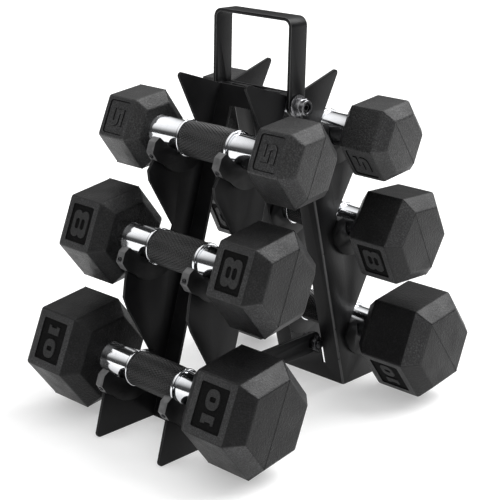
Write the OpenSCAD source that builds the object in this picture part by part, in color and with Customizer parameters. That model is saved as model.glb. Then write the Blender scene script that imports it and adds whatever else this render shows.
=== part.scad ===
// Three-tier A-frame dumbbell rack with three pairs of hexagonal dumbbells.
// X runs along the dumbbell handles, Y across the frame, Z up.
// The origin is on the floor at the middle of the rack.

/* [Frame] */
// Thickness of the folded steel panels
sheet_t = 2.5; // [2:0.1:3]
// Distance between the outer faces of a panel's two side flanges
frame_w = 79; // [78:0.5:80]
// Height of the top edge of the panels
panel_h = 289; // [286:0.5:290]
// Distance from the middle of the rack to the inner face of a panel at the floor
foot_gap = 85.6; // [85:0.1:86]
// Outward lean of a panel, as sideways run for each unit of height
panel_lean = 0.277; // [0.275:0.001:0.279]
// Width of the strips left beside the window of a panel
strip_w = 19; // [17:0.5:20]
// Height of the bands left above and below the window
band_h = 17; // [15:0.5:20]

/* [Carry handle] */
// Width of the handle strap
strap_w = 20; // [18:0.5:21]
// Thickness of the handle strap
strap_t = 3; // [2.5:0.1:3]
// Height of the top of the handle
handle_top = 353.5; // [340:0.5:360]
// Height of the axle that the handle turns on
axle_z = 280; // [279:0.5:281]

/* [Cradles] */
// Thickness of a cradle pad along the handles
cradle_t = 8; // [7:0.5:9]
// Radius of the round lower side of a cradle pad
cradle_r = 31; // [29:0.5:32]

/* [Dumbbells] */
// Radius of the chrome handle where it lies in a cradle
bar_r = 14; // [13:0.1:14]
// Radius of the knurled grip at its middle
grip_r = 16; // [15:0.1:16.5]
// Length of the knurled grip
grip_l = 54; // [48:1:58]
// Thickness of the rubber over the iron cores
rubber_t = 6; // [4:0.5:8]

/* [Hidden] */
$fn = 48;

steel = [0.07, 0.07, 0.075];
zinc = [0.75, 0.76, 0.78];
chrome = [0.85, 0.86, 0.88];
rubber = [0.12, 0.12, 0.125];
plastic = [0.16, 0.16, 0.165];
iron = [0.35, 0.35, 0.36];

// Rows run top, middle, low: the height and the distance out of each dumbbell's axis.
tier_names = ["top", "middle", "low"];
side_names = ["near", "far"];
tier_z = [249, 160.3, 56];
tier_y = [54.3, 89.1, 113.4];
// The far top row sits this much further out and higher than the near one.
far_top_shift = [6, 2];
// Weight on each tier, in pounds, and its name
weights = [5, 8, 10];
size_names = ["5lb", "8lb", "10lb"];
// Hexagon: corner radius, inner end, outer end, chamfer, corner radius of the end faces
head_r = [36, 44.3, 50];
head_x0 = [62.5, 60.5, 62];
head_x1 = [113, 118.4, 131.6];
head_c = [9, 9.9, 12.4];
head_end_r = [25.2, 31.9, 37];
// Tilt of the label face above the horizontal, near row and far row
near_tilt = [23, 21, 22];
far_tilt = [-37, -28, -38];

wall_y = sheet_t * sqrt(1 + panel_lean * panel_lean);
window_w = frame_w - 2 * strip_w;
tube_r = 7;
screw_r = 5;
washer_r = 9.6;
washer_t = 2;
leg_x = frame_w / 2 + 1.4;
lug_x = 14.4;
lug_r = 9;
spread_r = 10;
spread_t = 3;
bolt_y = 62.6;
bolt_z = 44;
bolt_r = 4;
nut_h = 6.5;
cradle_x = frame_w / 2 - sheet_t / 2;
notch_r = bar_r + 0.4;
flare_r = bar_r + 2;
metal_notch_r = notch_r + 4.6;
exit_deg = 48;
collar_l = 2.6;
spigot_r = 11;

// Distance out from the middle of the rack to the inner face of a panel at a height
function panel_y(z) = foot_gap - panel_lean * z;

// Puts a piece drawn for the far side on the near side too
module on_near() { mirror([0, 1, 0]) children(); }

// Turns a profile drawn as (Y out, Z up) into a plate of thickness t whose middle is at x
module plate_at(x, t) {
    translate([x - t / 2, 0, 0]) rotate([90, 0, 90]) linear_extrude(t) children();
}

// ---------- Folded panels ----------

// Points along an arc about c, from angle a0 to a1
function arc(c, r, a0, a1, n) = [
    for (k = [0:n], a = a0 + (a1 - a0) * k / n) c + r * [cos(a), sin(a)]
];

// Axis of the dumbbell on one tier, as (Y out, Z up); side 0 is near, side 1 is far
function tier_at(tier, side) =
    [tier_y[tier], tier_z[tier]] + (tier == 0 && side == 1 ? far_top_shift : [0, 0]);

// Round seat cut in a flange for the handle of one tier, from the prong back to the web
function seat(tier, side) = arc(tier_at(tier, side), metal_notch_r, -exit_deg, -193, 14);

// Outline of one side flange: foot, three prongs with their seats, and the horn
module flange_profile(side) {
    polygon(concat(
        [[panel_y(0), 0]],
        arc([149.6, 4], 4, -90, 5, 5),
        [[145.1, 37.3], [143, 44], [139, 50]], seat(2, side), [[90, 61], [116.9, 108.1], [121.4, 119.5]],
        [[119.5, 134], [115.5, 152]], seat(1, side), [[66, 166.5], [64.1, 171.7], [91.5, 216.2]],
        [[92.9, 225], [87.5, 232], [80, 242] + side * far_top_shift], seat(0, side), [[36.8, 260.2]],
        arc([54.6, 300.6], 3, -20, 110, 5),
        [[panel_y(panel_h) + wall_y, panel_h], [panel_y(panel_h), panel_h]]
    ));
}

// The leaning web between the flanges, as (Y out, Z up)
module web_profile() {
    polygon([
        [panel_y(0), 0], [panel_y(0) + wall_y, 0],
        [panel_y(panel_h) + wall_y, panel_h], [panel_y(panel_h), panel_h]
    ]);
}

// Window through the web, with the tongue that carries a spreader lug left in it
module web_window() {
    top = panel_h - band_h;
    edge = lug_x + sheet_t - 0.2;
    rotate([90, 0, 0]) translate([0, 0, -100]) linear_extrude(100) difference() {
        translate([-window_w / 2, band_h]) square([window_w, top - band_h]);
        polygon([[-16, 0], [edge, 0], [edge, 45], [13.5, 45], [9, 34], [-12, 30], [-16, 26]]);
    }
}

// Lug folded inward from the edge of the tongue, round about the spreader's bolt
module spreader_lug() {
    difference() {
        plate_at(lug_x + sheet_t / 2, sheet_t) polygon(concat(
            [[panel_y(26) + 1, 26]], arc([bolt_y, bolt_z], lug_r, -100, -280, 14), [[panel_y(45) + 1, 45]]
        ));
        at_bolt(0) cylinder(r = bolt_r + 0.3, h = 20, center = true);
    }
}

// Hook at the top of a web that curls over the axle tube
module axle_hook(x, w) {
    hook_in = tube_r + 0.15;
    hook_out = tube_r + sheet_t;
    difference() {
        translate([x - w / 2, 0, axle_z]) rotate([0, 90, 0]) cylinder(r = hook_out, h = w);
        translate([x - w, 0, axle_z]) rotate([0, 90, 0]) cylinder(r = hook_in, h = 2 * w);
        translate([x - w, -20, axle_z - 20]) cube([2 * w, 40, 20]);
        translate([x - w, -20, axle_z]) cube([2 * w, 17, 20]);
    }
}

module panel(side, hook_xs, hook_w) {
    difference() {
        union() {
            plate_at(0, frame_w - 1) web_profile();
            for (s = [-1, 1]) plate_at(s * cradle_x, sheet_t) flange_profile(side);
        }
        web_window();
    }
    spreader_lug();
    for (x = hook_xs) axle_hook(x, hook_w);
}

module near_panel() { color(steel) on_near() panel(0, [-32.5, 32.5], 9); }
module far_panel() { color(steel) panel(1, [-18, 18], 18); }

// ---------- Axle, spreader and fasteners ----------

module axle_tube() {
    half = leg_x - 0.4;
    color(zinc) translate([-half, 0, axle_z]) rotate([0, 90, 0]) difference() {
        cylinder(r = tube_r, h = 2 * half);
        translate([0, 0, -1]) cylinder(r = screw_r + 0.05, h = 2 * half + 2);
    }
}

// Flat bar on edge across the rack, with round ends bolted to the lugs
module spreader_bar() {
    color(steel) difference() {
        plate_at(lug_x + sheet_t + 0.1 + spread_t / 2, spread_t) polygon(concat(
            arc([bolt_y, bolt_z], spread_r, -90, 90, 16), arc([-bolt_y, bolt_z], spread_r, 90, 270, 16)
        ));
        for (side = [0, 1]) at_bolt(side) cylinder(r = bolt_r + 0.3, h = 20, center = true);
    }
}

// Frame on a spreader bolt at the outer face of its lug, with Z pointing along +X
module at_bolt(side) {
    mirror([0, side, 0]) translate([lug_x + sheet_t, bolt_y, bolt_z]) rotate([0, 90, 0]) children();
}

module spreader_screws() {
    head_h = 4.6;
    socket_h = 3.4;
    seat_z = -sheet_t - 0.1;
    color(zinc) for (side = [0, 1]) at_bolt(side) difference() {
        union() {
            translate([0, 0, seat_z - head_h]) cylinder(r = 7, h = head_h);
            translate([0, 0, seat_z - 0.5]) cylinder(r = bolt_r, h = sheet_t + spread_t + nut_h + 2);
        }
        translate([0, 0, seat_z - head_h - 1]) cylinder(r = 2.9, h = socket_h, $fn = 6);
    }
}

module spreader_nuts() {
    color(zinc) for (side = [0, 1]) at_bolt(side) translate([0, 0, spread_t + 0.2]) difference() {
        cylinder(r = 7.5, h = nut_h, $fn = 6);
        translate([0, 0, -1]) cylinder(r = bolt_r + 0.05, h = nut_h + 2);
    }
}

// ---------- Carry handle ----------

// Outline of the bent strap, as (X, Z)
module strap_outline(inset) {
    corner_r = 8 - inset;
    half = leg_x + strap_t - inset;
    top = handle_top - inset;
    translate([-half, axle_z - 20]) square([2 * half, top - corner_r - axle_z + 20]);
    translate([corner_r - half, axle_z - 20]) square([2 * (half - corner_r), top - axle_z + 20]);
    for (s = [-1, 1]) translate([s * (half - corner_r), top - corner_r]) circle(corner_r);
}

module carry_handle() {
    color(steel) difference() {
        intersection() {
            translate([0, strap_w / 2, 0]) rotate([90, 0, 0]) linear_extrude(strap_w) difference() {
                strap_outline(0);
                strap_outline(strap_t);
            }
            union() {
                translate([-100, 0, axle_z]) rotate([0, 90, 0]) cylinder(r = strap_w / 2, h = 200);
                translate([-100, -strap_w, axle_z]) cube([200, 2 * strap_w, 100]);
            }
        }
        translate([-100, 0, axle_z]) rotate([0, 90, 0]) cylinder(r = screw_r + 0.08, h = 200);
    }
}

module handle_screws() {
    head_r_screw = 8;
    head_h = 9;
    seat = leg_x + strap_t + washer_t + 0.4;
    color(zinc) for (s = [0, 1]) mirror([s, 0, 0]) translate([0, 0, axle_z]) rotate([0, 90, 0])
        difference() {
            union() {
                translate([0, 0, seat - 30]) cylinder(r = screw_r, h = 31);
                translate([0, 0, seat]) cylinder(r = head_r_screw, h = head_h);
            }
            translate([0, 0, seat + 3]) cylinder(r = 4.6, h = head_h, $fn = 6);
        }
}

module handle_washers() {
    color(zinc) for (s = [0, 1]) mirror([s, 0, 0])
        translate([leg_x + strap_t + 0.35, 0, axle_z]) rotate([0, 90, 0]) difference() {
            cylinder(r = washer_r, h = washer_t);
            translate([0, 0, -1]) cylinder(r = screw_r + 0.05, h = washer_t + 2);
        }
}

// ---------- Cradles ----------

// Side outline of a pad about the dumbbell's axis: round below, a lip in front, a low back
module cradle_outline() {
    difference() {
        union() {
            circle(cradle_r);
            polygon([[18, -24], [31.5, -16], [36.5, -8.5], [33.5, 0.2], [29, 3.2], [26, 3.4], [10, -10]]);
        }
        circle(notch_r);
        // Open space over the low back and over the lip
        polygon([[-50, -5.5], [-30.3, -5.5], [-25, 6.5], [-18, 8], [-14.2, 4], [0, 4], [0, 50], [-50, 50]]);
        polygon([[0, 0], [26, 3.4], [29, 3.2], [33.5, 0.2], [60, 0], [60, 50], [0, 50]]);
        // Flared way out that the handle lifts along
        rotate(90 - exit_deg) polygon([
            [0, 1 - notch_r], [9, -flare_r], [60, -flare_r], [60, notch_r - 1], [0, notch_r - 1]
        ]);
    }
}

// One pad, slotted over the edge of its flange
module cradle(tier, side, end) {
    mirror([0, 1 - side, 0]) difference() {
        axis = tier_at(tier, side);
        translate([0, axis[0], axis[1]]) plate_at(end * cradle_x, cradle_t) cradle_outline();
        plate_at(end * cradle_x, sheet_t + 0.2) flange_profile(side);
        at_pad_screw(tier, side, end) pad_screw(0.05);
    }
}

// Frame at the head of a pad's screw, with Z pointing into the pad
module at_pad_screw(tier, side, end) {
    seat = tier_at(tier, side) + (tier == 1 ? [35.6, -6] : [34, -12.2]);
    turn = tier == 1 ? -19 : 33.7;
    translate([end * cradle_x, seat[0], seat[1]]) rotate([90 - turn, 0, 0]) children();
}

module pad_screw(gap) {
    translate([0, 0, -1]) cylinder(r = 2 + gap, h = 1.8);
    cylinder(r = 1.2 + gap, h = 6);
}

// Small screws that hold the pads on, in the front face of each lip
module cradle_screws() {
    color(zinc) for (side = [0, 1], tier = [0:2], end = [-1, 1])
        mirror([0, 1 - side, 0]) at_pad_screw(tier, side, end) difference() {
            pad_screw(0);
            translate([0, 0, -1.5]) cylinder(r = 1.1, h = 1.3, $fn = 6);
        }
}

// ---------- Dumbbells ----------

// Hexagonal block with chamfered ends, corner radius r, end faces of corner radius end_r
module hex_block(r, end_r, x0, x1, c) {
    a = r * cos(30);
    e = end_r * cos(30);
    intersection_for(k = [0:2]) rotate([60 * k, 0, 0]) linear_extrude(4 * r, center = true) polygon([
        [x0, -e], [x0, e], [x0 + c, a], [x1 - c, a], [x1, e], [x1, -e], [x1 - c, -a], [x0 + c, -a]
    ]);
}

// Numerals in a box one unit high
module ring_2d(w, h, hole_w, hole_h) {
    difference() {
        pill_2d(w, h);
        pill_2d(hole_w, hole_h);
    }
}

module pill_2d(w, h) {
    square([w, h - w], center = true);
    for (s = [-1, 1]) translate([0, s * (h - w) / 2]) circle(w / 2, $fn = 24);
}

module digit_0() { ring_2d(0.62, 1, 0.2, 0.46); }

module digit_1() {
    translate([-0.11, -0.5]) square([0.24, 1]);
    translate([-0.27, 0.22]) square([0.3, 0.28]);
    translate([-0.27, -0.5]) square([0.56, 0.2]);
}

module digit_5() {
    translate([-0.3, 0.32]) square([0.58, 0.18]);
    translate([-0.3, -0.02]) square([0.19, 0.5]);
    difference() {
        translate([0, -0.18]) circle(0.32, $fn = 24);
        translate([0, -0.18]) circle(0.14, $fn = 24);
        translate([-0.4, -0.26]) square([0.4, 0.24]);
    }
    translate([-0.3, 0]) square([0.3, 0.14]);
}

module digit_8() {
    difference() {
        union() {
            translate([0, 0.23]) circle(0.27, $fn = 24);
            translate([0, -0.2]) circle(0.3, $fn = 24);
        }
        translate([0, 0.23]) circle(0.1, $fn = 24);
        translate([0, -0.2]) circle(0.11, $fn = 24);
    }
}

module numeral(pounds, h) {
    scale([h, h]) {
        if (pounds == 5) digit_5();
        if (pounds == 8) digit_8();
        if (pounds == 10) {
            translate([-0.38, 0]) digit_1();
            translate([0.38, 0]) digit_0();
        }
    }
}

// Label: a sunk panel with a raised numeral, cut from the face toward -Y
module label_pocket(i) {
    depth = 1;
    a = head_r[i] * cos(30);
    face_l = head_x1[i] - head_x0[i] - 2 * head_c[i];
    mid = (head_x0[i] + head_x1[i]) / 2;
    translate([mid, -a + depth, 0]) rotate([90, 0, 0]) linear_extrude(depth + 1) difference() {
        square([face_l * 0.66, head_r[i] * 0.72], center = true);
        rotate(90) numeral(weights[i], face_l * (weights[i] == 10 ? 0.4 : 0.56));
    }
}

// Rubber head: the skin over an iron core, on the +X end
module rubber_head(i) {
    inset = rubber_t - 0.05;
    difference() {
        hex_block(head_r[i], head_end_r[i], head_x0[i], head_x1[i], head_c[i]);
        hex_block(head_r[i] - inset / cos(30), head_end_r[i] - inset, head_x0[i] + inset,
            head_x1[i] - inset, head_c[i]);
        translate([head_x0[i] - 1, 0, 0]) rotate([0, 90, 0]) cylinder(r = spigot_r + 0.05, h = 10);
        for (turn = [0, 180]) rotate([turn, 0, 0]) label_pocket(i);
    }
}

module iron_core(i) {
    difference() {
        hex_block(head_r[i] - rubber_t / cos(30), head_end_r[i] - rubber_t, head_x0[i] + rubber_t,
            head_x1[i] - rubber_t, head_c[i]);
        translate([head_x0[i], 0, 0]) rotate([0, 90, 0])
            cylinder(r = spigot_r + 0.05, h = head_x1[i] - head_x0[i]);
    }
}

// Chrome handle with collars beside the grip and spigots into the heads
module bar(i) {
    neck_r = bar_r - 2;
    grip_x = grip_l / 2;
    end_x = head_x1[i] - rubber_t - 6;
    half = [
        [0, neck_r], [grip_x, neck_r], [grip_x, grip_r], [grip_x + collar_l - 0.8, grip_r],
        [grip_x + collar_l, grip_r - 0.8], [grip_x + collar_l, bar_r], [head_x0[i], bar_r],
        [head_x0[i], spigot_r], [end_x, spigot_r]
    ];
    color(chrome) rotate([0, 90, 0]) rotate_extrude($fn = 64) polygon(concat(
        [[0, -end_x]], [for (k = [len(half) - 1:-1:1]) [half[k][1], -half[k][0]]],
        [for (k = [1:len(half) - 1]) [half[k][1], half[k][0]]], [[0, end_x]]
    ));
}

// Knurled sleeve, a little slimmer at its ends
module grip() {
    neck_r = bar_r - 1.95;
    half = grip_l / 2 - 0.05;
    end_r = grip_r - 0.6;
    color(rubber) rotate([0, 90, 0]) rotate_extrude($fn = 64) polygon([
        [neck_r, -half], [end_r, -half], [grip_r, -half / 2],
        [grip_r, half / 2], [end_r, half], [neck_r, half]
    ]);
}

// Where a dumbbell sits: side 0 is near, side 1 is far
module at_rest(i, side) {
    tilt = side == 0 ? near_tilt[i] : far_tilt[i];
    axis = tier_at(i, side);
    translate([0, (side == 0 ? -1 : 1) * axis[0], axis[1]]) rotate([-tilt, 0, 0]) children();
}

module dumbbell_piece(i, side, piece) {
    at_rest(i, side) {
        if (piece == "bar") bar(i);
        if (piece == "grip") grip();
        if (piece == "cores") color(iron) for (s = [0, 1]) mirror([s, 0, 0]) iron_core(i);
        if (piece == "head_right") color(rubber) rubber_head(i);
        if (piece == "head_left") color(rubber) rotate([0, 180, 0]) rubber_head(i);
    }
}

near_panel();
far_panel();
axle_tube();
spreader_bar();
spreader_screws();
spreader_nuts();
carry_handle();
handle_screws();
handle_washers();
cradle_screws();
for (side = [0, 1], tier = [0:2], end = [-1, 1])
    let (name = str("cradle_", side_names[side], "_", tier_names[tier], end < 0 ? "_left" : "_right"))
    color(plastic) cradle(tier, side, end);
for (side = [0, 1], i = [0:2], piece = ["bar", "grip", "cores", "head_left", "head_right"])
    dumbbell_piece(i, side, piece);
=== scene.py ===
"""Looks of the three-tier dumbbell rack: materials and fine shapes, floor, light and camera.

The row frame is in metres: X along the dumbbell handles, Y across the rack, Z up, with its
origin on the floor.
"""

import math

import bmesh
import bpy
from mathutils import Matrix, Vector


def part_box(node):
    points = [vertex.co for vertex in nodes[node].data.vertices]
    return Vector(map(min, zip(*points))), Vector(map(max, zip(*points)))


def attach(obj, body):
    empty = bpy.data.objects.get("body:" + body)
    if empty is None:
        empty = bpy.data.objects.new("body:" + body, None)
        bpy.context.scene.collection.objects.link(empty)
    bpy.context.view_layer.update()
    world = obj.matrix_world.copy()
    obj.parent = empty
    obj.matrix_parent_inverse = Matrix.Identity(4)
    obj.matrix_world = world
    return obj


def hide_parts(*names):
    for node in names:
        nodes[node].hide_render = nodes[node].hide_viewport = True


MM = 0.001
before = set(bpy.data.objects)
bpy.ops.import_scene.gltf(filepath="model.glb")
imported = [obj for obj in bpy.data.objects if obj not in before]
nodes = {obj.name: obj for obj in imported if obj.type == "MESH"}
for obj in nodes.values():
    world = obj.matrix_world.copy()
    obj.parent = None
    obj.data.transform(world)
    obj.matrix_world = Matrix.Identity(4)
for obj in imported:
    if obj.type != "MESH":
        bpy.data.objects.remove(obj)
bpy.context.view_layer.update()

# ---------- Sizes that the CAD doesn't give as boxes ----------

WEIGHTS = ("5lb", "8lb", "10lb")
# Per weight: corner radius of the hexagon, and of its end faces, and length of the end chamfers
HEAD_R = {"5lb": 36.0 * MM, "8lb": 44.3 * MM, "10lb": 50.0 * MM}
HEAD_END_R = {"5lb": 25.2 * MM, "8lb": 31.9 * MM, "10lb": 37.0 * MM}
HEAD_CHAMFER = {"5lb": 9.0 * MM, "8lb": 9.9 * MM, "10lb": 12.4 * MM}
# Tilt of the label face above the horizontal
TILT = {
    "near": {"5lb": 23.0, "8lb": 21.0, "10lb": 22.0},
    "far": {"5lb": -37.0, "8lb": -28.0, "10lb": -38.0},
}
BAR_R = 14.0 * MM
COLLAR_R = 16.0 * MM
COLLAR_L = 2.6 * MM
GRIP_R = 16.0 * MM
GRIP_L = 54.0 * MM
SPIGOT_R = 11.0 * MM
# How far the rubber block stops short of the CAD end face, and how round its edges are
HEAD_GAP = 0.2 * MM
HEAD_ROUND = 1.5 * MM
# A hexagon's flats are this part of its corner radius from the middle
FLAT = math.cos(math.radians(30))
# The weight whose label is only an outline: walls in painted shade round a floor like the face
# outside
OUTLINED = "5lb"
# A label's length as a part of the flat's, and its height as a part of the corner radius
LABEL_LONG = {"5lb": 0.73, "8lb": 0.66, "10lb": 0.66}
LABEL_HIGH = {"5lb": 0.79, "8lb": 0.72, "10lb": 0.72}
LABEL_CORNER = {"5lb": 2.4 * MM, "8lb": 1.1 * MM, "10lb": 1.1 * MM}
LABEL_FLARE = {"5lb": 0.6 * MM, "8lb": 0.35 * MM, "10lb": 0.35 * MM}
LABEL_DEPTH = 1.0 * MM
NUMERAL_ROUND = {"5lb": 0.5 * MM, "8lb": 0.3 * MM, "10lb": 0.3 * MM}
# How thick a numeral is beyond the label's depth, and how far it is sunk in the label's floor
NUMERAL_EXTRA = 0.2 * MM
NUMERAL_ROOT = 0.3 * MM
# Edge rounding of the sheet steel and the strap, and of the panels' folds
SHEET_ROUND = 0.35 * MM
STRAP_ROUND = 0.45 * MM
FOLD_ROUND = 1.6 * MM
# Material slots of a head after its rubber: the recess's painted shade, the numerals, and the
# frame's painted sheen; and the one of other pieces' edges and lips, with their painted highlight
RECESS_SLOT, NUMERAL_SLOT, FRAME_SLOT = 1, 2, 3
EDGE_SLOT = 1


# ---------- Materials ----------


def new_material(name, colour, roughness, metallic=0.0):
    """A principled material and the tools to wire its details: (material, tree, shader)."""
    material = bpy.data.materials.new(name)
    material.use_nodes = True
    tree = material.node_tree
    shader = tree.nodes["Principled BSDF"]
    shader.inputs["Base Color"].default_value = (*colour, 1.0)
    shader.inputs["Roughness"].default_value = roughness
    shader.inputs["Metallic"].default_value = metallic
    return material, tree, shader


def noise(tree, scale, detail=2.0, stretch=(1, 1, 1), rough=0.5):
    """Noise in the piece's own coordinates, in metres, finer along an axis that is stretched."""
    place = tree.nodes.new("ShaderNodeTexCoord")
    mapping = tree.nodes.new("ShaderNodeMapping")
    mapping.inputs["Scale"].default_value = stretch
    texture = tree.nodes.new("ShaderNodeTexNoise")
    texture.inputs["Scale"].default_value = scale
    texture.inputs["Detail"].default_value = detail
    texture.inputs["Roughness"].default_value = rough
    tree.links.new(place.outputs["Object"], mapping.inputs["Vector"])
    tree.links.new(mapping.outputs["Vector"], texture.inputs["Vector"])
    return texture.outputs["Fac"]


def ramp(tree, value, stops):
    """A colour ramp over value; stops are (position, colour or grey)."""
    node = tree.nodes.new("ShaderNodeValToRGB")
    elements = node.color_ramp.elements
    while len(elements) < len(stops):
        elements.new(0.5)
    for element, (position, colour) in zip(elements, stops):
        element.position = position
        shade = colour if isinstance(colour, tuple) else (colour, colour, colour)
        element.color = (*shade, 1.0)
    tree.links.new(value, node.inputs["Fac"])
    return node.outputs["Color"]


def mix(tree, amount, a, b):
    """Colour a where amount is 0 and b where it is 1."""
    node = tree.nodes.new("ShaderNodeMix")
    node.data_type = "RGBA"
    tree.links.new(amount, node.inputs["Factor"])
    for name, colour in (("A", a), ("B", b)):
        socket = next(s for s in node.inputs if s.name == name and s.type == "RGBA")
        socket.default_value = (*colour, 1.0)
    return next(s for s in node.outputs if s.type == "RGBA")


def bump(tree, shader, height, distance, strength=1.0):
    """Adds a bump of that height field, on top of any bump already there."""
    node = tree.nodes.new("ShaderNodeBump")
    node.inputs["Distance"].default_value = distance
    node.inputs["Strength"].default_value = strength
    tree.links.new(height, node.inputs["Height"])
    below = shader.inputs["Normal"].links
    if below:
        tree.links.new(below[0].from_socket, node.inputs["Normal"])
    tree.links.new(node.outputs["Normal"], shader.inputs["Normal"])


def powder_coat():
    """Satin black powder coat: an orange-peel skin, with faint dust and rubbed patches."""
    material, tree, shader = new_material("powder_coat", (0.006, 0.006, 0.0065), 0.42)
    shader.inputs["Specular IOR Level"].default_value = 0.16
    cloud = noise(tree, 22, 4, rough=0.6)
    tree.links.new(
        ramp(tree, cloud, [(0.3, (0.004, 0.004, 0.0045)), (0.7, (0.008, 0.008, 0.0085))]),
        shader.inputs["Base Color"],
    )
    tree.links.new(ramp(tree, cloud, [(0.35, 0.36), (0.7, 0.5)]), shader.inputs["Roughness"])
    bump(tree, shader, noise(tree, 520, 2), 0.00012, 0.6)
    bump(tree, shader, noise(tree, 2600, 1), 0.00003, 0.5)
    return material


def powder_edge_highlight():
    """The same coat along the edges and folds, painted paler and glossier in patches: a painted
    highlight where they catch the light.
    """
    material, tree, shader = new_material("powder_edge_highlight", (0.02, 0.02, 0.021), 0.3)
    patchy_tone = noise(tree, 60, 4, rough=0.65)
    tree.links.new(
        ramp(tree, patchy_tone, [(0.3, (0.014, 0.014, 0.0145)), (0.72, (0.05, 0.05, 0.052))]),
        shader.inputs["Base Color"],
    )
    tree.links.new(ramp(tree, patchy_tone, [(0.35, 0.26), (0.7, 0.4)]), shader.inputs["Roughness"])
    bump(tree, shader, noise(tree, 900, 2), 0.00005, 0.5)
    return material


def moulded_rubber(name, dark, light, roughness, grain=0.0001, specular=0.3):
    """Matt black rubber with fine pale specks and a cloudy bloom."""
    material, tree, shader = new_material(name, dark, roughness)
    shader.inputs["Specular IOR Level"].default_value = specular
    specks = ramp(tree, noise(tree, 820, 3, rough=0.75), [(0.45, 0.0), (0.66, 1.0)])
    bloom = ramp(tree, noise(tree, 38, 5, rough=0.65), [(0.3, 0.25), (0.75, 1.0)])
    amount = tree.nodes.new("ShaderNodeMath")
    amount.operation = "MULTIPLY"
    tree.links.new(specks, amount.inputs[0])
    tree.links.new(bloom, amount.inputs[1])
    tree.links.new(mix(tree, amount.outputs[0], dark, light), shader.inputs["Base Color"])
    tree.links.new(
        ramp(tree, noise(tree, 60, 3), [(0.3, roughness - 0.07), (0.7, roughness + 0.07)]),
        shader.inputs["Roughness"],
    )
    bump(tree, shader, noise(tree, 1100, 3, rough=0.65), grain, 0.8)
    bump(tree, shader, noise(tree, 620, 2, rough=0.6), 2.4 * grain, 1.0)
    return material


def chrome():
    """Polished chrome, with faint turned lines round the handle and a little handling haze."""
    material, tree, shader = new_material("chrome", (0.78, 0.79, 0.81), 0.09, 1.0)
    haze = noise(tree, 70, 4, rough=0.6)
    tree.links.new(ramp(tree, haze, [(0.35, 0.06), (0.75, 0.16)]), shader.inputs["Roughness"])
    tree.links.new(
        ramp(tree, haze, [(0.3, (0.8, 0.81, 0.83)), (0.8, (0.68, 0.69, 0.71))]),
        shader.inputs["Base Color"],
    )
    bump(tree, shader, noise(tree, 40, 2, stretch=(60, 1, 1)), 0.00002, 0.35)
    return material


def plated_steel(name, light, dark):
    """Plated fasteners, slightly blue, with soft blotches."""
    material, tree, shader = new_material(name, light, 0.28, 1.0)
    blotch = noise(tree, 260, 4, rough=0.6)
    tree.links.new(ramp(tree, blotch, [(0.3, light), (0.75, dark)]), shader.inputs["Base Color"])
    tree.links.new(ramp(tree, blotch, [(0.3, 0.22), (0.75, 0.4)]), shader.inputs["Roughness"])
    bump(tree, shader, noise(tree, 1800, 2), 0.00003, 0.5)
    return material


def grip_coat():
    """Black coated knurling, a little brighter in soft random patches."""
    material, tree, shader = new_material("grip_coat", (0.012, 0.012, 0.013), 0.3)
    shader.inputs["Specular IOR Level"].default_value = 0.5
    patchy_tone = noise(tree, 120, 4, rough=0.6)
    tree.links.new(
        ramp(tree, patchy_tone, [(0.35, (0.004, 0.004, 0.0044)), (0.8, (0.012, 0.012, 0.013))]),
        shader.inputs["Base Color"],
    )
    tree.links.new(ramp(tree, patchy_tone, [(0.3, 0.34), (0.75, 0.46)]), shader.inputs["Roughness"])
    bump(tree, shader, noise(tree, 2400, 1), 0.00003, 0.5)
    return material


def pad_plastic(name, dark, light, specular):
    """Moulded plastic with a fine spark-eroded grain."""
    material, tree, shader = new_material(name, dark, 0.36)
    shader.inputs["Specular IOR Level"].default_value = specular
    tree.links.new(
        ramp(tree, noise(tree, 170, 4, rough=0.6), [(0.3, dark), (0.75, light)]),
        shader.inputs["Base Color"],
    )
    tree.links.new(
        ramp(tree, noise(tree, 140, 3), [(0.3, 0.32), (0.7, 0.44)]),
        shader.inputs["Roughness"],
    )
    bump(tree, shader, noise(tree, 1700, 2), 0.00005, 0.6)
    return material


def cast_iron():
    """Rough cast iron, inside the rubber."""
    material, tree, shader = new_material("cast_iron", (0.1, 0.095, 0.09), 0.7, 0.8)
    tree.links.new(
        ramp(tree, noise(tree, 80, 5), [(0.3, (0.07, 0.066, 0.063)), (0.75, (0.16, 0.15, 0.14))]),
        shader.inputs["Base Color"],
    )
    bump(tree, shader, noise(tree, 420, 4), 0.0003, 0.8)
    return material


def pale_paper(name, glow):
    """A pale sheet lit a little from behind, like a light table, with the faintest paper tooth."""
    material, tree, shader = new_material(name, (0.68, 0.68, 0.68), 0.75)
    tooth = noise(tree, 45, 6, rough=0.7)
    tree.links.new(ramp(tree, tooth, [(0.3, 0.65), (0.7, 0.71)]), shader.inputs["Base Color"])
    shader.inputs["Emission Color"].default_value = (1, 1, 1, 1)
    shader.inputs["Emission Strength"].default_value = glow
    return material


POWDER = powder_coat()
# Painted highlight for the rounded edges and folds of the coated steel
POWDER_EDGE_HIGHLIGHT = powder_edge_highlight()
# The lighter the dumbbell, the higher its tier and the paler and glossier its rubber: painted
# light, brighter on the upper tiers
RUBBER = {
    weight: moulded_rubber(f"rubber_{weight}", dark, light, 0.42, 0.00018, specular)
    for weight, dark, light, specular in (
        ("5lb", (0.009, 0.009, 0.0092), (0.06, 0.06, 0.061), 0.36),
        ("8lb", (0.0045, 0.0045, 0.0047), (0.027, 0.027, 0.028), 0.25),
        ("10lb", (0.004, 0.004, 0.0042), (0.022, 0.022, 0.023), 0.21),
    )
}
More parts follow.
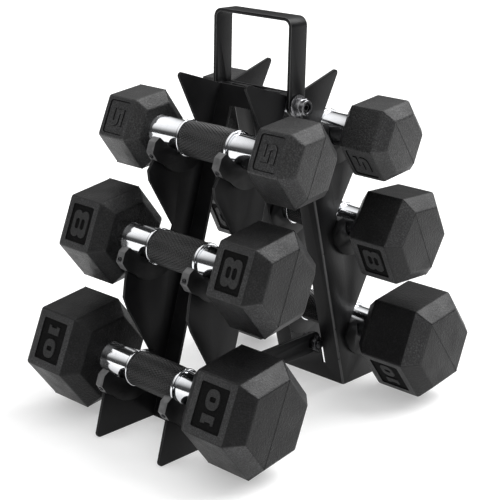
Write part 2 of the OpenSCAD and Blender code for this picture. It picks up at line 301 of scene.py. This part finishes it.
# The faces round the labels and the chamfers at the outer ends, painted paler: a painted sheen of
# the light they catch
FRAME_SHEEN_RUBBER = moulded_rubber(
    "label_frame_sheen", (0.014, 0.014, 0.0145), (0.075, 0.075, 0.077), 0.5, 0.00016
)
# Painted shade in the label recesses and on their walls
RECESS_SHADE = moulded_rubber(
    "label_recess_shade", (0.003, 0.003, 0.0031), (0.01, 0.01, 0.01), 0.85, 0.00003, 0.08
)
NUMERAL = moulded_rubber(
    "label_numeral", (0.02, 0.02, 0.0205), (0.05, 0.05, 0.05), 0.6, 0.00004, 0.16
)
CHROME = chrome()
ZINC = plated_steel("bright_zinc", (0.66, 0.67, 0.69), (0.45, 0.46, 0.48))
DULL_STEEL = plated_steel("dull_steel", (0.3, 0.3, 0.31), (0.14, 0.14, 0.145))
# Black screws; also the painted shade in the handle screws' sockets
DARK_STEEL_AND_SOCKET_SHADE = plated_steel("black_screw_and_socket_shade", (0.09, 0.09, 0.095), (0.04, 0.04, 0.043))
GRIP = grip_coat()
PLASTIC = pad_plastic("pad_plastic", (0.005, 0.005, 0.0053), (0.009, 0.009, 0.0095), 0.16)
# The front of a cradle's lip, painted pale and glossy: a painted sheen of the light from above
LIP_SHEEN = pad_plastic("pad_plastic_lip_sheen", (0.06, 0.06, 0.061), (0.13, 0.13, 0.132), 0.4)
IRON = cast_iron()
FLOOR = pale_paper("pale_floor", 0.38)
WALL = pale_paper("pale_wall", 0.75)


# ---------- Mesh tools ----------

# In a mesh of the CAD: vertices this close are one, and the angles that count as flat and sharp
WELD = 0.002 * MM
FLAT_DEG = 0.5
SHARP_DEG = 28


def finish_mesh(bm, name, materials, smooth_deg=32):
    """A mesh from bm, smooth except across edges sharper than smooth_deg."""
    bmesh.ops.recalc_face_normals(bm, faces=bm.faces)
    for face in bm.faces:
        face.smooth = True
    for edge in bm.edges:
        if len(edge.link_faces) == 2:
            edge.smooth = edge.calc_face_angle(0) < math.radians(smooth_deg)
    mesh = bpy.data.meshes.new(name)
    bm.to_mesh(mesh)
    bm.free()
    for material in materials:
        mesh.materials.append(material)
    return mesh


def new_piece(name, mesh, body, replaces, matrix=None):
    """A piece that rides on a body and stands for CAD nodes; a matrix places a copy of the mesh."""
    if matrix is not None:
        mesh = mesh.copy()
        mesh.transform(matrix)
    piece = bpy.data.objects.new(name, mesh)
    bpy.context.scene.collection.objects.link(piece)
    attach(piece, body)
    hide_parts(*replaces)
    return piece


def sharp_edges(bm):
    """Edges between two faces that meet at a sharp angle."""
    limit = math.radians(SHARP_DEG)
    return [e for e in bm.edges if len(e.link_faces) == 2 and e.calc_face_angle(0) > limit]


def refined(node, material, body, rounding, fold=0.0, edge_material=None):
    """A copy of a CAD node with its sharp edges rounded, and its folds too where fold is given.

    The rounded faces have edge_material, if there is one; on the coated steel that is a painted
    highlight.
    """
    bm = bmesh.new()
    bm.from_mesh(nodes[node].data)
    bmesh.ops.remove_doubles(bm, verts=bm.verts, dist=WELD)
    bmesh.ops.dissolve_limit(
        bm, angle_limit=math.radians(FLAT_DEG), verts=bm.verts, edges=bm.edges,
        use_dissolve_boundaries=False,
    )
    if fold:
        round_folds(bm, fold)
    rounded = bmesh.ops.bevel(
        bm, geom=sharp_edges(bm), offset=rounding, segments=2, profile=0.5, affect="EDGES",
        clamp_overlap=True,
    )
    if edge_material:
        for face in rounded["faces"]:
            face.material_index = EDGE_SLOT
    mesh = finish_mesh(bm, node + "_skin", [material, edge_material or material])
    return new_piece(node + "_skin", mesh, body, [node])


def round_folds(bm, radius):
    """Rounds the long folds between a panel's web and its side flanges, and gives them the edge
    slot's painted highlight.
    """
    bm.normal_update()
    widest = max(abs(v.co.x) for v in bm.verts)
    shortest, slack = 50 * MM, 0.1 * MM

    def faces_inward(normal, y):
        """Whether a face of the web looks towards the middle of the rack."""
        return abs(normal.x) < 0.01 and normal.y * y < 0 and abs(normal.y) > 0.9

    folds = []
    for edge in bm.edges:
        if len(edge.link_faces) != 2 or edge.calc_length() < shortest:
            continue
        if any(abs(abs(v.co.x) - widest) > slack for v in edge.verts):
            continue
        normals = [f.normal for f in edge.link_faces]
        faces_side = any(abs(n.x) > 0.99 for n in normals)
        if faces_side and any(faces_inward(n, edge.verts[0].co.y) for n in normals):
            folds.append(edge)
    rounded = bmesh.ops.bevel(
        bm, geom=folds, offset=radius, segments=5, profile=0.5, affect="EDGES", clamp_overlap=True
    )
    for face in rounded["faces"]:
        face.material_index = EDGE_SLOT


def ring(bm, x, radius, turns):
    """Vertices about the X axis, at these angles."""
    return [bm.verts.new((x, radius * math.cos(a), radius * math.sin(a))) for a in turns]


def join_rings(bm, rings, capped=False):
    """Faces between neighbouring rings, and over the first and the last one if capped."""
    for low, high in zip(rings, rings[1:]):
        for k in range(len(low)):
            after = (k + 1) % len(low)
            bm.faces.new((low[k], low[after], high[after], high[k]))
    if capped:
        bm.faces.new(rings[0])
        bm.faces.new(rings[-1])


def lathe(profile, segments, name, material):
    """A solid turned about X from (x, radius) points; it starts and ends on the axis."""
    bm = bmesh.new()
    turns = [2 * math.pi * k / segments for k in range(segments)]
    rings = [ring(bm, x, radius, turns if radius else [0]) for x, radius in profile]
    for low, high in zip(rings, rings[1:]):
        for k in range(segments):
            after = (k + 1) % segments
            corners = (
                low[k % len(low)], low[after % len(low)],
                high[after % len(high)], high[k % len(high)],
            )
            bm.faces.new(list(dict.fromkeys(corners)))
    return finish_mesh(bm, name, [material])


def angles_between(start_deg, end_deg, steps):
    """Evenly spaced angles in radians, both ends included."""
    return [math.radians(start_deg + (end_deg - start_deg) * k / steps) for k in range(steps + 1)]


def rounded_step(x, radius, bend, start_deg, end_deg, steps=4):
    """Points of a quarter round about (x, radius), for a lathe profile."""
    angles = angles_between(start_deg, end_deg, steps)
    return [(x + bend * math.cos(a), radius + bend * math.sin(a)) for a in angles]


# ---------- Dumbbells ----------


def axis_of(weight, side):
    """The matrix from a dumbbell's own coordinates to the row frame.

    In its own coordinates its axis is X, and its labels face -Y and +Y.
    """
    low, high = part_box(f"db_{weight}_{side}_bar")
    centre = (low + high) / 2
    tilt = Matrix.Rotation(-math.radians(TILT[side][weight]), 4, "X")
    return Matrix.Translation((0, centre.y, centre.z)) @ tilt


def head_span(weight):
    """Inner and outer end of a right head along X."""
    low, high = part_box(f"db_{weight}_near_head_right")
    return low.x, high.x


def stadium(width, height, centre=(0, 0), steps=14):
    """A closed outline with round ends, as points; the longer side is straight."""
    radius = min(width, height) / 2
    reach_x, reach_y = width / 2 - radius, height / 2 - radius
    points = []
    for k in range(4 * steps):
        a = 2 * math.pi * (k + 0.5) / (4 * steps)
        c, s = math.cos(a), math.sin(a)
        points.append((
            centre[0] + math.copysign(reach_x, c) + radius * c,
            centre[1] + math.copysign(reach_y, s) + radius * s,
        ))
    return points


def rounded_box(width, height, radius, centre=(0, 0), steps=5):
    """A rectangle with round corners, as points."""
    points = []
    for k in range(4 * (steps + 1)):
        quarter, part = divmod(k, steps + 1)
        a = math.pi / 2 * (quarter + part / steps)
        sign_x = 1 if quarter in (0, 3) else -1
        sign_y = 1 if quarter in (0, 1) else -1
        points.append(
            (centre[0] + sign_x * (width / 2 - radius) + radius * math.cos(a),
             centre[1] + sign_y * (height / 2 - radius) + radius * math.sin(a))
        )
    return points


def oval(width, height, centre=(0, 0), power=2.5, steps=48):
    """A superellipse, as points."""
    points = []
    for k in range(steps):
        a = 2 * math.pi * k / steps
        c, s = math.cos(a), math.sin(a)
        points.append(
            (centre[0] + math.copysign(abs(c) ** (2 / power), c) * width / 2,
             centre[1] + math.copysign(abs(s) ** (2 / power), s) * height / 2)
        )
    return points


def arc_points(centre, radius, start_deg, end_deg, steps=12):
    """Points along a round stretch."""
    angles = angles_between(start_deg, end_deg, steps)
    return [(centre[0] + radius * math.cos(a), centre[1] + radius * math.sin(a)) for a in angles]


def numeral_loops(weight):
    """Outlines of the wide numerals in millimetres, as loops of which the inner ones are holes.

    x runs along the line of reading and y up the figure.
    """
    if weight == "10lb":
        one_x, serif, stem, zero = -9.4, 3.7, 2.0, (6.6, 0)
        one = [
            (one_x - serif, 6.7), (one_x + serif, 6.7), (one_x + serif, -6.7),
            (one_x - serif, -6.7), (one_x - serif, -4.0), (one_x - stem, -4.0),
            (one_x - stem, 2.6), (one_x - serif, 2.6),
        ]
        return [one, oval(16.6, 13.8, zero), rounded_box(4.2, 6.2, 1.2, zero)]
    if weight == "8lb":
        upper, lower, reach, lobe = 4.3, -4.3, 6.6, 5.0
        outer = [
            *arc_points((reach, upper), lobe, -60, 90),
            *arc_points((-reach, upper), lobe, 90, 240),
            *arc_points((-reach, lower), lobe, 120, 270),
            *arc_points((reach, lower), lobe, 270, 420),
        ]
        long, high, inset = 9.4, 4.6, 1.1
        holes = [stadium(long, high, (0, upper - inset)), stadium(long, high, (0, lower + inset))]
        return [outer, *holes]
    bowl = arc_points((2.8, -2.3), 5.2, 90, -90)
    hollow = arc_points((1.6, -2.5), 1.45, -90, 90, 8)
    return [
        [(-7.4, 7.5), (7.4, 7.5), (7.4, 3.9), (-3.0, 3.9), (-3.0, 2.9)] + bowl
        + [(-8.0, -7.5), (-8.0, -3.95)] + hollow + [(-7.4, -1.05)]
    ]


def numeral_mesh(weight, thickness):
    """The raised numeral, lying flat: x along the handle, y across it, thickness along z."""
    soft = NUMERAL_ROUND[weight]
    curve = bpy.data.curves.new("numeral", "CURVE")
    curve.dimensions = "2D"
    curve.fill_mode = "BOTH"
    curve.extrude = thickness / 2 - soft
    curve.bevel_depth = soft
    curve.bevel_resolution = 2
    curve.offset = -soft
    for loop in numeral_loops(weight):
        spline = curve.splines.new("POLY")
        spline.points.add(len(loop) - 1)
        for point, (along, up) in zip(spline.points, loop):
            point.co = (-up * MM, along * MM, 0, 1)
        spline.use_cyclic_u = True
    holder = bpy.data.objects.new("numeral", curve)
    bpy.context.scene.collection.objects.link(holder)
    mesh = evaluated_mesh(holder)
    bpy.data.objects.remove(holder)
    return mesh


def evaluated_mesh(holder):
    """The mesh that an object has after its curve settings or modifiers."""
    evaluated = holder.evaluated_get(bpy.context.evaluated_depsgraph_get())
    return bpy.data.meshes.new_from_object(evaluated)


def hex_block(weight):
    """The hexagonal block with rounded edges, its label face towards -Y."""
    inner, outer = head_span(weight)
    outer -= HEAD_GAP
    chamfer = HEAD_CHAMFER[weight]
    stations = [
        (inner, HEAD_END_R[weight]), (inner + chamfer, HEAD_R[weight]),
        (outer - chamfer, HEAD_R[weight]), (outer, HEAD_END_R[weight]),
    ]
    corners = [math.radians(30 + 60 * k) for k in range(6)]
    bm = bmesh.new()
    rings = [
        [bm.verts.new((x, -radius * math.cos(a), radius * math.sin(a))) for a in corners]
        for x, radius in stations
    ]
    join_rings(bm, rings, capped=True)
    bmesh.ops.recalc_face_normals(bm, faces=bm.faces)
    bmesh.ops.bevel(
        bm, geom=list(bm.edges), offset=HEAD_ROUND, segments=4, profile=0.55, affect="EDGES"
    )
    return bm


def label_cutter(bm, weight, width, height, turned):
    """A pan-shaped cutter over the label, flared at its rim; turned, it is on the +Y side."""
    inner, outer = head_span(weight)
    middle = (inner + outer) / 2
    face_y = -HEAD_R[weight] * FLAT
    flare, corner = LABEL_FLARE[weight], LABEL_CORNER[weight]
    # The pan's foot is drawn in, and its rim reaches just past the face and then well above it
    foot, lap, above, least_corner = 0.25 * MM, 0.02 * MM, 1.5 * MM, 0.3 * MM
    levels = [
        (LABEL_DEPTH, -foot), (LABEL_DEPTH - foot, 0), (flare, 0), (-lap, flare), (-above, flare),
    ]
    sign = -1 if turned else 1
    rings = []
    for level, grow in levels:
        outline = rounded_box(
            width + 2 * grow, height + 2 * grow, max(corner + grow, least_corner)
        )
        y = sign * (face_y + level)
        rings.append([bm.verts.new((middle + u, y, sign * v)) for u, v in outline])
    join_rings(bm, rings, capped=True)


def cut(target, cutter):
    """target minus cutter, both temporary objects; the result is a new mesh."""
    modifier = target.modifiers.new("cut", "BOOLEAN")
    modifier.operation = "DIFFERENCE"
    modifier.solver = "EXACT"
    modifier.object = cutter
    return evaluated_mesh(target)


def loose_object(bm, name):
    """A temporary object from bm."""
    mesh = bpy.data.meshes.new(name)
    bmesh.ops.recalc_face_normals(bm, faces=bm.faces)
    bm.to_mesh(mesh)
    bm.free()
    holder = bpy.data.objects.new(name, mesh)
    bpy.context.scene.collection.objects.link(holder)
    return holder


def add_parting_line(bm, weight):
    """The mould's parting line: a low ridge round the block through its +Z and -Z corners."""
    inner, outer = head_span(weight)
    chamfer, half_width = HEAD_CHAMFER[weight], 0.28 * MM
    end_z, side_z = HEAD_END_R[weight] - 0.5 * MM, HEAD_R[weight] - 0.12 * MM
    outline = [
        (inner, end_z), (inner + chamfer, side_z), (outer - chamfer, side_z), (outer, end_z),
    ]
    loop = outline + [(x, -z) for x, z in reversed(outline)]
    sides = [[bm.verts.new((x, y, z)) for x, z in loop] for y in (-half_width, half_width)]
    join_rings(bm, sides, capped=True)


def is_wall(face):
    """Whether a face of a label or numeral stands across the label's plane."""
    return abs(face.normal.y) < 0.9


def colour_block(bm, weight, width, height):
    """Gives a block's recesses their painted shade, and its label faces and outer chamfers their
    painted sheen, as material slots.
    """
    inner, outer = head_span(weight)
    middle = (inner + outer) / 2
    margin, below = 0.3 * MM, 0.1 * MM
    floor_slot = FRAME_SLOT if weight == OUTLINED else RECESS_SLOT
    bm.normal_update()
    for face in bm.faces:
        centre, normal = face.calc_center_median(), face.normal
        in_length = abs(centre.x - middle) < width / 2 + margin
        in_height = abs(centre.z) < height / 2 + margin
        # Recess walls, and the floors of all but the outlined label, take the painted shade
        if in_length and in_height and abs(centre.y) < HEAD_R[weight] * FLAT - below:
            face.material_index = RECESS_SLOT if is_wall(face) else floor_slot
        # Label faces and outer chamfers take the painted sheen
        elif abs(normal.y) > 0.99 or (0.3 < normal.x < 0.97 and abs(normal.z) > 0.3):
            face.material_index = FRAME_SLOT


def add_numerals(bm, weight):
    """Adds the raised numerals of the two labels."""
    inner, outer = head_span(weight)
    thickness = LABEL_DEPTH + NUMERAL_EXTRA
    floor_y = -HEAD_R[weight] * FLAT + LABEL_DEPTH
    place = Matrix.Translation(((inner + outer) / 2, floor_y - thickness / 2 + NUMERAL_ROOT, 0))
    place = place @ Matrix.Rotation(math.pi / 2, 4, "X")
    wall, top = NUMERAL_SLOT, NUMERAL_SLOT
    # The outlined label's numeral: painted shade on its walls, painted sheen on its top
    if weight == OUTLINED:
        wall, top = RECESS_SLOT, FRAME_SLOT
    for matrix in (place, Matrix.Rotation(math.pi, 4, "X") @ place):
        figure = numeral_mesh(weight, thickness)
        figure.transform(matrix)
        added = bmesh.new()
        added.from_mesh(figure)
        added.normal_update()
        for face in added.faces:
            face.material_index = wall if is_wall(face) else top
        added.to_mesh(figure)
        added.free()
        bm.from_mesh(figure)
        bpy.data.meshes.remove(figure)


def head_mesh(weight):
    """One rubber head, on the +X end: block, two sunk labels with numerals, and parting line."""
    inner, outer = head_span(weight)
    width = (outer - inner - 2 * HEAD_CHAMFER[weight]) * LABEL_LONG[weight]
    height = HEAD_R[weight] * LABEL_HIGH[weight]
    block = loose_object(hex_block(weight), "block")
    cutters = bmesh.new()
    for turned in (False, True):
        label_cutter(cutters, weight, width, height, turned)
    cutter = loose_object(cutters, "cutter")
    bm = bmesh.new()
    bm.from_mesh(cut(block, cutter))
    bpy.data.objects.remove(block)
    bpy.data.objects.remove(cutter)
    colour_block(bm, weight, width, height)
    add_numerals(bm, weight)
    add_parting_line(bm, weight)
    return finish_mesh(bm, f"head_{weight}", [RUBBER[weight], RECESS_SHADE, NUMERAL, FRAME_SHEEN_RUBBER], 24)


def bar_mesh(weight):
    """The chrome handle: a collar at each end of the grip, and a neck that lies in a cradle."""
    inner, outer = head_span(weight)
    grip_end, soft = GRIP_L / 2, 0.7 * MM
    collar_end, bend_r = grip_end + COLLAR_L, COLLAR_R + 0.2 * MM - soft
    foot_r, spigot_end = BAR_R + 0.4 * MM, outer - 12 * MM
    half = [
        (grip_end, BAR_R - 2 * MM),
        *rounded_step(grip_end + soft, bend_r, soft, 180, 90),
        *rounded_step(collar_end - soft, bend_r, soft, 90, 0),
        (collar_end, BAR_R + 0.25 * MM),
        (collar_end + 0.3 * MM, BAR_R),
        (inner - 1.2 * MM, BAR_R),
        (inner - 0.4 * MM, foot_r),
        (inner + 0.5 * MM, foot_r),
        (inner + 0.5 * MM, SPIGOT_R),
        (spigot_end, SPIGOT_R),
        (spigot_end, 0),
    ]
    profile = [(-x, r) for x, r in reversed(half)] + half
    return lathe(profile, 96, f"bar_{weight}", CHROME)


def grip_mesh():
    """Diamond knurling cut into a sleeve that is a little slimmer at its ends."""
    around, along = 40, 22
    depth, slimmer, bow = 0.95 * MM, 0.7 * MM, 2.2
    half = GRIP_L / 2 - 0.1 * MM
    hollow = BAR_R - 1.9 * MM
    turns = [math.pi * k / around for k in range(2 * around)]

    def radius_at(x):
        return GRIP_R - slimmer * (abs(x) / half) ** bow

    def is_raised(vertex):
        return Vector(vertex.co.yz).length > radius_at(vertex.co.x) - depth / 2

    bm = bmesh.new()
    rows = []
    for row in range(2 * along + 1):
        x = -half + 2 * half * row / (2 * along)
        rows.append([])
        for k, a in enumerate(turns):
            is_crest = row % 2 == 1 and (k + row // 2) % 2 == 0
            radius = radius_at(x) - (0 if is_crest else depth)
            rows[-1].append(bm.verts.new((x, radius * math.cos(a), radius * math.sin(a))))
    for low, high in zip(rows, rows[1:]):
        for k in range(len(turns)):
            after = (k + 1) % len(turns)
            a, b, c, d = low[k], low[after], high[after], high[k]
            raised = [v for v in (a, b, c, d) if is_raised(v)]
            if raised and raised[0] in (a, c):
                halves = ((a, b, c), (a, c, d))
            else:
                halves = ((a, b, d), (b, c, d))
            for corners in halves:
                bm.faces.new(corners)
    bore = [ring(bm, x, hollow, turns) for x in (-half, half)]
    join_rings(bm, [rows[0], *bore, rows[-1]])
    return finish_mesh(bm, "grip", [GRIP], 12)


def dress_dumbbells():
    """Heads, handle and grip of all six dumbbells, from one set of meshes for each weight."""
    grip = grip_mesh()
    turn_end = Matrix.Rotation(math.pi, 4, "Y")
    for weight in WEIGHTS:
        head, bar = head_mesh(weight), bar_mesh(weight)
        for side in ("near", "far"):
            stem, body = f"db_{weight}_{side}_", f"dumbbell_{weight}_{side}"
            place = axis_of(weight, side)
            for part, mesh, slot, matrix in (
                ("bar", bar, "chrome", place),
                ("grip", grip, "grip_black", place),
                ("head_right", head, "head_rubber", place),
                ("head_left", head, "head_rubber", place @ turn_end),
            ):
                new_piece(f"{stem}{part}_skin", mesh, body, [stem + part], matrix)
            paint(stem + "cores", IRON)


def paint(node, material):
    """Gives a CAD node that stays in view its material."""
    data = nodes[node].data
    data.materials.clear()
    data.materials.append(material)


# ---------- Rack ----------


def handle_screw_mesh():
    """The screw at the +X end of the axle: a hexagon, then a round collar about a socketed end."""
    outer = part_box("handle_screws")[1].x
    seat, shoulder = outer - 9 * MM, outer - 9 * MM + 5.6 * MM
    tip, rim, shank_r, collar_r, hexagon_r = seat - 30 * MM, 0.8 * MM, 5 * MM, 6.6 * MM, 8 * MM
    # How far below the end, and at what radius: a groove, a raised ring and the socket in it
    end = (
        (0, 4.7), (0.5, 4.3), (3.2, 4.2), (3.2, 3.6), (1.4, 3.3), (1.4, 2.2), (3.6, 2.0), (3.6, 0),
    )
    profile = [
        (tip, 0), (tip, shank_r), (shoulder, shank_r), (shoulder, collar_r),
        *rounded_step(outer - rim, collar_r - rim, rim, 90, 0),
        *[(outer - below * MM, radius * MM) for below, radius in end],
    ]
    stations = (
        (seat, 7.7 * MM), (seat + 0.6 * MM, hexagon_r),
        (shoulder - 0.9 * MM, hexagon_r), (shoulder, 7 * MM),
    )
    sixths = [math.radians(60 * k) for k in range(6)]
    bm = bmesh.new()
    join_rings(bm, [ring(bm, x, radius, sixths) for x, radius in stations], capped=True)
    bmesh.ops.recalc_face_normals(bm, faces=bm.faces)
    bmesh.ops.bevel(
        bm, geom=list(bm.edges), offset=0.3 * MM, segments=2, profile=0.5, affect="EDGES"
    )
    turned = lathe(profile, 48, "turned", DULL_STEEL)
    bm.from_mesh(turned)
    bpy.data.meshes.remove(turned)
    # The groove and socket in the end, all but the raised ring's top, take the dark steel as
    # painted shade
    for face in bm.faces:
        centre = face.calc_center_median()
        is_inside = math.hypot(centre.y, centre.z) < 4.75 * MM and centre.x > outer - 4 * MM
        is_ring_top = outer - 1.5 * MM < centre.x < outer - 1.3 * MM
        if is_inside and not is_ring_top:
            face.material_index = 1
    return finish_mesh(bm, "handle_screw", [DULL_STEEL, DARK_STEEL_AND_SOCKET_SHADE], 30)


def dress_rack():
    """The steel, the cradles and the fasteners, with their edges rounded."""
    # Painted highlight along the folds and rounded edges of the panels, spreader and carry handle
    for node in ("near_panel", "far_panel"):
        refined(
            node, POWDER, "frame", SHEET_ROUND, FOLD_ROUND,
            edge_material=POWDER_EDGE_HIGHLIGHT,
        )
    refined(
        "spreader_bar", POWDER, "frame", SHEET_ROUND, edge_material=POWDER_EDGE_HIGHLIGHT
    )
    refined(
        "carry_handle", POWDER, "handle", STRAP_ROUND, edge_material=POWDER_EDGE_HIGHLIGHT
    )
    refined("axle_tube", ZINC, "frame", 0.3 * MM)
    refined("handle_washers", DULL_STEEL, "frame", 0.4 * MM)
    for node in ("spreader_screws", "spreader_nuts", "cradle_screws"):
        refined(node, DARK_STEEL_AND_SOCKET_SHADE, "frame", 0.25 * MM)
    end_of_axle = handle_screw_mesh()
    low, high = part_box("handle_screws")
    on_axle = Matrix.Translation((0, 0, (low.z + high.z) / 2))
    for name, turn in (("right", 0), ("left", math.pi)):
        place = on_axle @ Matrix.Rotation(turn, 4, "Z")
        new_piece(
            "handle_screw_" + name, end_of_axle, "frame", ["handle_screws"], place
        )
    for node in sorted(nodes):
        if node.startswith("cradle_") and node != "cradle_screws":
            pad = refined(
                node, PLASTIC, "frame", 0.5 * MM, edge_material=PLASTIC
            )
            paint_lip_sheen(pad.data)


def paint_lip_sheen(mesh):
    """Gives the front faces of a cradle's lip, those that look outwards and up, their painted
    sheen.
    """
    outward = math.copysign(1, sum(v.co.y for v in mesh.vertices))
    front = max(outward * v.co.y for v in mesh.vertices)
    lip = 9 * MM
    mesh.materials[EDGE_SLOT] = LIP_SHEEN
    for face in mesh.polygons:
        facing = outward * face.normal.y
        on_lip = outward * face.center.y > front - lip
        # Faces that look outwards and up, where the light falls, take the painted sheen
        faces_out = abs(face.normal.x) < 0.5 and facing > -0.2 and facing + face.normal.z > 0.1
        face.material_index = EDGE_SLOT if on_lip and faces_out else 0


# ---------- Studio ----------


def studio():
    """A pale floor and wall, and an even light from above and behind."""
    reach = 9.0
    bm = bmesh.new()
    bmesh.ops.create_grid(bm, x_segments=8, y_segments=8, size=reach)
    floor = bpy.data.objects.new("floor", finish_mesh(bm, "floor", [FLOOR]))
    bpy.context.scene.collection.objects.link(floor)
    backdrop()
    bpy.context.scene.world = surround()
    overhead_light(towards=(0.32, 0.6, 0.74), strength=3.0, spread_deg=44)


def backdrop():
    """A pale wall all round that rises from the floor in a sweep; only the camera sees it."""
    wall_r, sweep, height, segments = 8.5, 2.5, 14.0, 64
    profile = [
        (wall_r - sweep + sweep * math.sin(a), sweep - sweep * math.cos(a) + MM)
        for a in (math.pi / 2 * k / 8 for k in range(9))
    ]
    profile.append((wall_r, height))
    turns = [2 * math.pi * k / segments for k in range(segments)]
    bm = bmesh.new()
    rings = [
        [bm.verts.new((radius * math.cos(a), radius * math.sin(a), z)) for a in turns]
        for radius, z in profile
    ]
    join_rings(bm, rings[::-1])
    wall = bpy.data.objects.new("backdrop", finish_mesh(bm, "backdrop", [WALL]))
    bpy.context.scene.collection.objects.link(wall)
    wall.visible_diffuse = wall.visible_glossy = wall.visible_shadow = False
    wall.visible_transmission = wall.visible_volume_scatter = False


def surround():
    """White overhead and nearly black at the horizon, for the polished pieces to reflect."""
    world = bpy.data.worlds.new("surround")
    world.use_nodes = True
    tree = world.node_tree
    place = tree.nodes.new("ShaderNodeTexCoord")
    split = tree.nodes.new("ShaderNodeSeparateXYZ")
    tree.links.new(place.outputs["Generated"], split.inputs["Vector"])
    shade = ramp(tree, split.outputs["Z"], [(0.0, 0.02), (0.3, 0.06), (0.62, 0.7), (0.9, 1.0)])
    tree.links.new(shade, tree.nodes["Background"].inputs["Color"])
    tree.nodes["Background"].inputs["Strength"].default_value = 1.5
    return world


def overhead_light(towards, strength, spread_deg):
    """A broad, even light from far off in that direction, like a big softbox."""
    light = bpy.data.lights.new("overhead", "SUN")
    light.energy = strength
    light.angle = math.radians(spread_deg)
    holder = bpy.data.objects.new("overhead", light)
    holder.rotation_euler = Vector(towards).to_track_quat("Z", "Y").to_euler()
    bpy.context.scene.collection.objects.link(holder)


def camera():
    """The photograph's point of view: from the right of the near row, a little above the rack."""
    place = Vector((0.7507, -0.8269, 0.5063))
    yaw, pitch, roll = math.radians(42.44), math.radians(17.995), math.radians(1.258)
    data = bpy.data.cameras.new("camera")
    data.sensor_width = 36.0
    data.lens = 95.5
    data.dof.use_dof = False
    holder = bpy.data.objects.new("camera", data)
    bpy.context.scene.collection.objects.link(holder)
    forward = Vector(
        (-math.sin(yaw) * math.cos(pitch), math.cos(yaw) * math.cos(pitch), -math.sin(pitch))
    )
    level = Vector((math.cos(yaw), math.sin(yaw), 0))
    upright = level.cross(forward)
    right = math.cos(roll) * level + math.sin(roll) * upright
    up = math.cos(roll) * upright - math.sin(roll) * level
    turn = Matrix((right, up, -forward)).transposed()
    holder.matrix_world = Matrix.Translation(place) @ turn.to_4x4()
    bpy.context.scene.camera = holder


camera()
dress_dumbbells()
dress_rack()
studio()
bpy.context.scene.view_settings.view_transform = "Standard"
